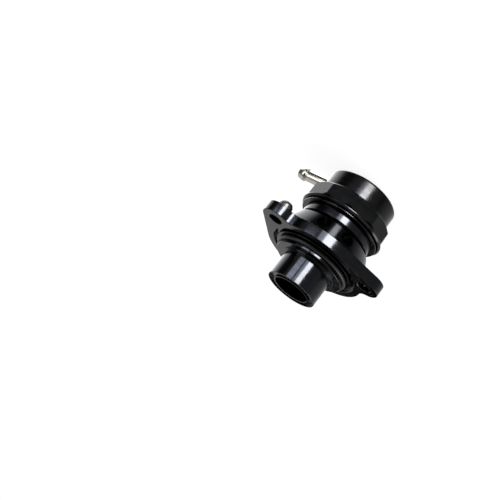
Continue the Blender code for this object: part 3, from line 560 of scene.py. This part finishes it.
def earDrill(place, low, high):
    # a rod with a flared collar at each face, so that the hole gets a small countersink
    hole, chamfer, reach = earShape["hole"], earShape["chamfer"], earShape["drillReach"]
    rod = turnedPiece("ear_drill", [
        (0, low - reach, 0),
        (hole + chamfer + reach, low - reach, 0),
        (hole, low + chamfer, 0),
        (hole, high - chamfer, 0),
        (hole + chamfer + reach, high + reach, 0),
        (0, high + reach, 0),
    ], rodSegments)
    rod.location = place
    placeInMesh(rod)
    return rod


def isVentRim(edge, height):
    # both ends lie on one vent's wall and well outside the piston's bore, and its faces meet at a clear angle
    farInside, offWall, clearAngle = 18 * mm, 0.03 * mm, math.radians(25)
    if min(math.hypot(vert.co.x, vert.co.y) for vert in edge.verts) < farInside:
        return False
    middle = (edge.verts[0].co + edge.verts[1].co) / 2
    bearing = math.degrees(math.atan2(middle.y, middle.x))
    nearest = min(ventAngles(), key=lambda angle: abs((bearing - angle + 180) % 360 - 180))
    side = outward(nearest + 90)
    for vert in edge.verts:
        offset = math.hypot(vert.co.dot(side), vert.co.z - height * mm)
        if abs(offset - ventShape["radius"] * mm) > offWall:
            return False
    normals = [face.normal for face in edge.link_faces]
    return normals[0].angle(normals[1], 0) > clearAngle


makeBody()


# Cap: a turned crown, a ten-sided nut, a round collar and a thin lip
capShape = {
    "segments": 180, "crownRadius": 20.8, "crownHeight": 12.0, "crownEdge": 1.6, "nutCorner": 25.0,
    "nutHeight": 9.6, "nutTurn": -81.6, "nutSides": 10, "nutChamfer": 1.7, "nutStock": 0.15, "flatStop": 0.2,
    "collarRadius": 25.4, "collarHeight": 1.5, "collarChamfer": 0.8, "lipRadius": 23.9, "lipHeight": 0.8,
    "lipGroove": 22.4, "boreRadius": 19.7, "chamberRadius": 17.0, "chamberGap": 0.3, "endWall": 2.6,
    "bossRadius": 7.2, "bossHeight": 3.4, "nippleTurn": 30, "nippleDrop": 4.0, "nippleHole": 2.6,
    "holeReach": 3.0, "spotRadius": 3.5, "spotDepth": 1.1, "hoopGrowth": 1.4, "squareWithin": 0.6,
    "millReach": 2.0,
}


def makeCap():
    c = capShape
    nutFoot = c["crownHeight"] + c["nutHeight"]
    collarFoot = nutFoot + c["collarHeight"]
    chamberFoot = bodyTop - c["chamberGap"]
    nutRim = c["nutCorner"] - c["nutChamfer"]
    stock = c["nutStock"]
    bevel = c["collarChamfer"]
    cap = turnedPiece("screw_cap", [
        (0, 0, 0),
        (c["crownRadius"], 0, c["crownEdge"]),
        (c["crownRadius"], c["crownHeight"], 0.25),
        (nutRim, c["crownHeight"], 0.12),
        (c["nutCorner"] + stock, c["crownHeight"] + c["nutChamfer"] + stock, 0),
        (c["nutCorner"] + stock, nutFoot - c["nutChamfer"] - stock, 0),
        (nutRim, nutFoot, 0.1),
        (c["collarRadius"], nutFoot, 0.15),
        (c["collarRadius"], collarFoot - bevel, 0.15),
        (c["collarRadius"] - bevel, collarFoot, 0.15),
        (c["lipGroove"], collarFoot, 0.15),
        (c["lipGroove"], capFoot - c["lipHeight"], 0.15),
        (c["lipRadius"], capFoot - c["lipHeight"], 0.2),
        (c["lipRadius"], capFoot, 0.25),
        (c["boreRadius"], capFoot, 0.3),
        (c["boreRadius"], chamberFoot, 0),
        (c["chamberRadius"], chamberFoot, 0),
        (c["chamberRadius"], c["endWall"], 1.0),
        (c["bossRadius"], c["endWall"], 0.4),
        (c["bossRadius"], c["endWall"] + c["bossHeight"], 0.5),
        (0, c["endWall"] + c["bossHeight"], 0),
    ], c["segments"])
    combine(cap, nutFlats(c["crownHeight"] - cutReach, nutFoot - c["flatStop"]), "DIFFERENCE")
    out = outward(c["nippleTurn"])
    lift = Vector((0, 0, c["nippleDrop"] * mm))
    inside = out * (c["chamberRadius"] - c["holeReach"]) * mm + lift
    flat = out * (c["crownRadius"] - c["spotDepth"]) * mm + lift
    outside = out * (c["crownRadius"] + cutReach) * mm + lift
    combine(cap, drilledRod("nipple_hole", c["nippleHole"] * mm, inside, outside), "DIFFERENCE")
    combine(cap, drilledRod("spot_face", c["spotRadius"] * mm, flat, outside), "DIFFERENCE")
    tidyAfterCuts(cap)
    smooth(cap)
    weighNormals(cap)
    finishPiece(cap, blackCap, "cap", "housing")
    cap.data.materials.append(blackMilled)
    for face in cap.data.polygons:
        if isMilled(face, nutFoot):
            face.material_index = 1


def isMilled(face, nutFoot):
    # upright, square to one of the nut's sides and well outside the crown
    c = capShape
    sideTurn = 2 * math.pi / c["nutSides"]
    firstSide = math.radians(c["nutTurn"] + 180 / c["nutSides"])
    lean = (math.atan2(face.normal.y, face.normal.x) - firstSide) % sideTurn
    tolerance = math.radians(c["squareWithin"])
    square = min(lean, sideTurn - lean) < tolerance and abs(face.normal.z) < tolerance
    outside = math.hypot(face.center.x, face.center.y) > (c["crownRadius"] + c["millReach"]) * mm
    return square and outside and c["crownHeight"] * mm < face.center.z < nutFoot * mm


def nutFlats(low, high):
    # a ten-sided hoop whose inner walls plane the flats
    c = capShape
    deselectAll()
    bpy.ops.mesh.primitive_cylinder_add(
        vertices=c["nutSides"], radius=c["nutCorner"] * mm, depth=(high - low) * mm,
        location=(0, 0, (low + high) / 2 * mm), end_fill_type="NOTHING")
    hoop = bpy.context.object
    hoop.name = "nut_flats"
    # a cylinder primitive has its first corner on +Y
    hoop.rotation_euler = (0, 0, math.radians(c["nutTurn"] - 90))
    placeInMesh(hoop)
    bpy.ops.object.mode_set(mode="EDIT")
    bpy.ops.mesh.select_all(action="SELECT")
    bpy.ops.mesh.extrude_region_move()
    # the hoop's outside lies clear of the nut's corners
    bpy.ops.transform.resize(value=(c["hoopGrowth"], c["hoopGrowth"], 1))
    tidyShell()
    return hoop


def tidyAfterCuts(obj):
    pickOnly(obj)
    bpy.ops.object.mode_set(mode="EDIT")
    tidyShell()


makeCap()


# Seals: O-rings, each with the flats where it is squeezed
sealRings = {
    "flange_seal": {"name": "flange_o_ring", "centre": 20.97, "section": 1.15, "body": "housing"},
    "cap_seal": {"name": "cap_o_ring", "centre": 18.63, "section": 0.95, "body": "housing"},
    "piston_seal": {"name": "piston_o_ring", "centre": 13.08, "section": 0.8, "body": "piston"},
    "nose_seal": {"name": "nose_o_ring", "centre": 9.12, "section": 0.9, "body": "piston"},
}
sealShape = {"sides": 24, "segments": 144, "squeeze": 0.96, "smoothAngle": 60}


def makeSeal(node, ring):
    low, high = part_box(node)
    middle = (low.z + high.z) / 2 / mm
    squeeze = sealShape["squeeze"]
    centre, section = ring["centre"], ring["section"]
    corners = []
    for k in range(sealShape["sides"]):
        angle = 2 * math.pi * k / sealShape["sides"]
        along = max(-squeeze, min(squeeze, math.sin(angle)))
        corners.append((centre + section * math.cos(angle), middle + section * along, 0))
    seal = turnedPiece(ring["name"], corners, sealShape["segments"])
    smooth(seal, sealShape["smoothAngle"])
    finishPiece(seal, nitrile, node, ring["body"])


for node, ring in sealRings.items():
    makeSeal(node, ring)


# Vacuum nipple: a turned steel stem with one barb, screwed into the crown
nippleShape = {
    "segments": 72, "arcSteps": 4, "bore": 1.5, "thread": 2.3, "threadReach": 0.6, "stem": 3.2, "neck": 2.6,
    "neckLength": 1.0, "neckTaper": 0.6, "barb": 3.8, "barbLength": 4.2, "barbLand": 1.1, "tip": 3.0,
    "length": 19.7, "seatGap": 0.15, "washer": 0.8, "washerGap": 0.12,
}


def layRadially(obj):
    # what was turned about the valve's axis is laid along the nipple's
    turn = math.radians(capShape["nippleTurn"])
    lift = Matrix.Translation((0, 0, capShape["nippleDrop"] * mm))
    obj.matrix_world = lift @ Matrix.Rotation(turn, 4, "Z") @ Matrix.Rotation(math.pi / 2, 4, "Y")
    bpy.context.view_layer.update()
    placeInMesh(obj)


def makeNipple():
    n = nippleShape
    inner = capShape["chamberRadius"] - n["threadReach"]
    seat = capShape["crownRadius"] - capShape["spotDepth"] + n["seatGap"]
    shoulder = seat + n["washer"] + n["seatGap"]
    tip = capShape["crownRadius"] + n["length"]
    barbFoot = tip - n["barbLength"]
    neckFoot = barbFoot - n["neckLength"]
    nipple = turnedPiece("hose_nipple", [
        (n["bore"], inner, 0),
        (n["thread"], inner, 0.3),
        (n["thread"], shoulder, 0),
        (n["stem"], shoulder, 0.15),
        (n["stem"], neckFoot - n["neckTaper"], 0.15),
        (n["neck"], neckFoot, 0.2),
        (n["neck"], barbFoot, 0.15),
        (n["barb"], barbFoot, 0.12),
        (n["barb"], barbFoot + n["barbLand"], 0.5),
        (n["tip"], tip, 0.25),
        (n["bore"], tip, 0.15),
    ], n["segments"], n["arcSteps"])
    layRadially(nipple)
    smooth(nipple)
    axisStart = (0, 0, capShape["nippleDrop"] * mm)
    axisTurn = (0, math.pi / 2, math.radians(capShape["nippleTurn"]))
    steel = turnedMetal("stainless steel, polished", stainlessLook, axisStart, axisTurn)
    finishPiece(nipple, steel, "vacuum_nipple", "housing")
    hole = n["thread"] + n["washerGap"]
    washer = turnedPiece("nipple_fibre_washer", [
        (hole, seat, 0.1),
        (n["stem"], seat, 0.12),
        (n["stem"], seat + n["washer"], 0.12),
        (hole, seat + n["washer"], 0.1),
    ], n["segments"])
    layRadially(washer)
    smooth(washer)
    finishPiece(washer, redFibre, "nipple_washer", "housing")


makeNipple()


# Threaded insert behind the ear towards +X
insertShape = {
    "segments": 72, "arcSteps": 5, "head": 4.0, "headHeight": 4.8, "headGap": 0.3, "domeStep": 1.2,
    "domeHeight": 1.6, "domeRounding": 1.8, "shank": 3.78, "shankLength": 1.6, "bore": 2.6,
}


def makeInsert():
    s = insertShape
    headFoot = flangeFace - bodyShape["flangeThickness"] - s["headGap"]
    headEnd = headFoot - s["headHeight"]
    insert = turnedPiece("ear_threaded_insert", [
        (s["bore"], headEnd, 0.2),
        (s["head"] - s["domeStep"], headEnd, 0.3),
        (s["head"], headEnd + s["domeHeight"], s["domeRounding"]),
        (s["head"], headFoot, 0.2),
        (s["shank"], headFoot, 0),
        (s["shank"], headFoot + s["shankLength"], 0.2),
        (s["bore"], headFoot + s["shankLength"], 0.2),
    ], s["segments"], s["arcSteps"])
    place = outward(earShape["angles"][1]) * earShape["circle"] * mm
    insert.location = place
    placeInMesh(insert)
    smooth(insert)
    steel = turnedMetal("stainless steel, tumbled", insertLook, place)
    finishPiece(insert, steel, "ear_insert", "housing")


makeInsert()


# Spring: drawn wire wound on from turn to turn, closer over the first and the last turn
springShape = {
    "wire": 1.1, "radius": 9.2, "turns": 7, "stepsPerTurn": 40, "sides": 14, "closedPitch": 2.31,
    "smoothAngle": 40, "foot": 3.84, "keep": 0.726,
}  # keep is the share of its length that it has with the piston pushed in


def makeSpring():
    s = springShape
    start = s["foot"] + s["wire"]
    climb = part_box("spring")[1].z / mm - s["wire"] - start
    openPitch = (climb - 2 * s["closedPitch"]) / (s["turns"] - 2)
    stepTurn = 2 * math.pi / s["stepsPerTurn"]
    deselectAll()
    bpy.ops.mesh.primitive_circle_add(
        vertices=s["sides"], radius=s["wire"] * mm, fill_type="NGON",
        location=(s["radius"] * mm, 0, start * mm), rotation=(math.pi / 2, 0, 0))
    spring = bpy.context.object
    spring.name = "wound_spring"
    placeInMesh(spring)
    bpy.ops.object.mode_set(mode="EDIT")
    bpy.ops.mesh.select_all(action="SELECT")
    for step in range(s["turns"] * s["stepsPerTurn"]):
        turn = step / s["stepsPerTurn"]
        pitch = openPitch if 1 <= turn < s["turns"] - 1 else s["closedPitch"]
        rise = pitch / s["stepsPerTurn"] * mm
        bpy.ops.mesh.extrude_region_move(TRANSFORM_OT_translate={"value": (0, 0, rise)})
        bpy.ops.transform.rotate(value=-stepTurn, orient_axis="Z", center_override=(0, 0, 0))
    tidyShell()
    smooth(spring, s["smoothAngle"])
    finishPiece(spring, plainSteel, "spring", "housing")
    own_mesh(spring)


makeSpring()


# What is carried over from the frame keeps its solid and gets its finish
carried = {
    "piston": hardAnodised, "nose_retainer": hardAnodised, "nose_screw": plainSteel,
    "spring_seat": plainSteel, "spring_shim": plainSteel, "guide_ring_upper": bronzeBand,
    "guide_ring_lower": bronzeBand,
}
for name, material in carried.items():
    mesh = frame["nodes"][name].data
    mesh.materials.clear()
    mesh.materials.append(material)
print("carried pieces finished:", len(carried))


# Stage: floor, world, lamps and camera
floorLook = {
    "colour": "#F4F4F4", "metallic": 0.0, "roughness": 0.8, "size": 8.0, "drop": 0.05, "paperScale": 40.0,
    "paperStrength": 0.02, "paperDepth": 1.0, "glow": 1.25, "glowShare": 0.7,
}
# what the valve mirrors: the pale table that it lay on in the photograph fades into a dim room
roomLook = {
    "tableSide": (-0.51, 0.74, 0.44), "tableFade": 0.35, "tableLight": 0.7, "dimLight": 0.06,
    # a small dark card, seen in the ear at -150 degrees
    "cardSide": (-0.33, 0.885, 0.326), "cardInner": 0.972, "cardOuter": 0.955,
    # a broad lit wall, seen in what faces +X
    "wallSide": (0.545, 0.65, -0.53), "wallInner": 0.95, "wallOuter": 0.76, "wallLight": 2.3,
}


def makeFloor():
    deselectAll()
    bpy.ops.mesh.primitive_plane_add(size=floorLook["size"], location=(0, 0, -floorLook["drop"] * mm))
    floor = bpy.context.object
    floor.name = "floor"
    material, tree, shader = startMaterial("pale floor", floorLook)
    paper = addNode(tree, "ShaderNodeTexNoise", {"Scale": floorLook["paperScale"], "Detail": 3.0})
    addBump(tree, shader, paper.outputs["Fac"], floorLook["paperStrength"], floorLook["paperDepth"])
    # to the camera it also glows, so that it comes out close to white; to the valve it is only pale
    glow = addNode(tree, "ShaderNodeEmission", {"Color": (1, 1, 1, 1), "Strength": floorLook["glow"]})
    rays = addNode(tree, "ShaderNodeLightPath", {})
    share = addNode(tree, "ShaderNodeMath", {"operation": "MULTIPLY", 1: floorLook["glowShare"]},
                    {0: rays.outputs["Is Camera Ray"]})
    mixed = addNode(tree, "ShaderNodeMixShader", {},
                    {0: share.outputs["Value"], 1: shader.outputs["BSDF"], 2: glow.outputs["Emission"]})
    tree.links.new(mixed.outputs["Shader"], tree.nodes["Material Output"].inputs["Surface"])
    floor.data.materials.append(material)
    # the photographed valve lay tipped over, so its softboxes and table stand below this floor's level
    floor.visible_glossy = False
    floor.visible_shadow = False


def facingShare(tree, place, side, low, high, outside, inside):
    # eases from one value to another as a direction turns towards this side
    facing = addNode(tree, "ShaderNodeVectorMath",
                     {"operation": "DOT_PRODUCT", 1: Vector(roomLook[side]).normalized()}, {0: place})
    eased = addNode(tree, "ShaderNodeMapRange",
                    {"interpolation_type": "SMOOTHSTEP", "From Min": low, "From Max": high,
                     "To Min": outside, "To Max": inside}, {"Value": facing.outputs["Value"]})
    return eased.outputs["Result"]


def makeWorld():
    world = bpy.data.worlds.new("studio")
    bpy.context.scene.world = world
    world.use_nodes = True
    tree = world.node_tree
    back = tree.nodes["Background"]
    r = roomLook
    place = addNode(tree, "ShaderNodeTexCoord", {}).outputs["Generated"]
    fade = r["tableFade"]
    level = facingShare(tree, place, "tableSide", -fade, fade, r["dimLight"], r["tableLight"])
    card = facingShare(tree, place, "cardSide", r["cardOuter"], r["cardInner"], 1.0, 0.0)
    wall = facingShare(tree, place, "wallSide", r["wallOuter"], r["wallInner"], 0.0, r["wallLight"])
    shaded = addNode(tree, "ShaderNodeMath", {"operation": "MULTIPLY"}, {0: level, 1: card})
    lit = addNode(tree, "ShaderNodeMath", {"operation": "ADD"}, {0: shaded.outputs["Value"], 1: wall})
    rays = addNode(tree, "ShaderNodeLightPath", {})
    seen = addNode(tree, "ShaderNodeMix", {"data_type": "FLOAT", 3: 1.0},
                   {0: rays.outputs["Is Camera Ray"], 2: lit.outputs["Value"]})
    tree.links.new(seen.outputs[0], back.inputs["Strength"])
    back.inputs["Color"].default_value = (1, 1, 1, 1)


# places are degrees round and up from the valve, sizes are degrees across as the valve sees them
lamps = {
    "key softbox": {"azimuth": -88, "elevation": -21.5, "width": 19, "height": 16, "radiance": 32},
    "key's soft edge": {"azimuth": -72, "elevation": -21, "width": 12, "height": 14, "radiance": 6,
                        "colour": "#EEF3FF"},
    "side softbox": {"azimuth": -48, "elevation": -15.6, "width": 24, "height": 4, "radiance": 10,
                     "colour": "#EAF1FF"},
    "fill": {"azimuth": -85, "elevation": -20, "width": 120, "height": 40, "radiance": 0.3,
             "colour": "#F4F6F8"},
    "upper softbox": {"azimuth": -30, "elevation": 15, "width": 36, "height": 34, "radiance": 2.3},
    "low softbox": {"azimuth": -82, "elevation": -68, "width": 9, "height": 9, "radiance": 9},
    "under softbox": {"azimuth": 75, "elevation": -62, "width": 34, "height": 16, "radiance": 4},
    "right softbox": {"azimuth": 172, "elevation": 33, "width": 30, "height": 20, "radiance": 5},
}
lampTarget = Vector((0, 0, 35 * mm))
lampDistance = 0.9  # metres


def makeLamp(name, lamp):
    azimuth, elevation = math.radians(lamp["azimuth"]), math.radians(lamp["elevation"])
    level = math.cos(elevation)
    away = Vector((math.cos(azimuth) * level, math.sin(azimuth) * level, math.sin(elevation)))
    data = bpy.data.lights.new(name, "AREA")
    data.shape = "RECTANGLE"
    data.size = 2 * lampDistance * math.tan(math.radians(lamp["width"] / 2))
    data.size_y = 2 * lampDistance * math.tan(math.radians(lamp["height"] / 2))
    data.color = fromHex(lamp.get("colour", "#FFFFFF"))[:3]
    data.energy = lamp["radiance"] * math.pi * data.size * data.size_y
    obj = bpy.data.objects.new(name, data)
    bpy.context.scene.collection.objects.link(obj)
    obj.location = lampTarget + away * lampDistance
    obj.rotation_mode = "QUATERNION"
    obj.rotation_quaternion = away.to_track_quat("Z", "Y")
    obj.visible_camera = False


# fitted to the round outlines in the photograph; rolled, because the valve lay tipped in it
cameraView = {
    "location": (30.0, -456.0, 209.1), "elevation": 17.44, "roll": -141.3, "lens": 64.8, "sensor": 36,
    "clipStart": 10.0,
}


def makeCamera():
    data = bpy.data.cameras.new("camera")
    data.sensor_width = cameraView["sensor"]
    data.lens = cameraView["lens"]
    data.clip_start = cameraView["clipStart"] * mm
    camera = bpy.data.objects.new("camera", data)
    bpy.context.scene.collection.objects.link(camera)
    level = Matrix.Rotation(math.radians(90 - cameraView["elevation"]), 4, "X")
    roll = Matrix.Rotation(math.radians(cameraView["roll"]), 4, "Z")
    camera.matrix_world = Matrix.Translation(Vector(cameraView["location"]) * mm) @ level @ roll
    bpy.context.scene.camera = camera


makeFloor()
makeWorld()
for name, lamp in lamps.items():
    makeLamp(name, lamp)
makeCamera()
bpy.context.scene.view_settings.view_transform = "Standard"
print("stage ready")
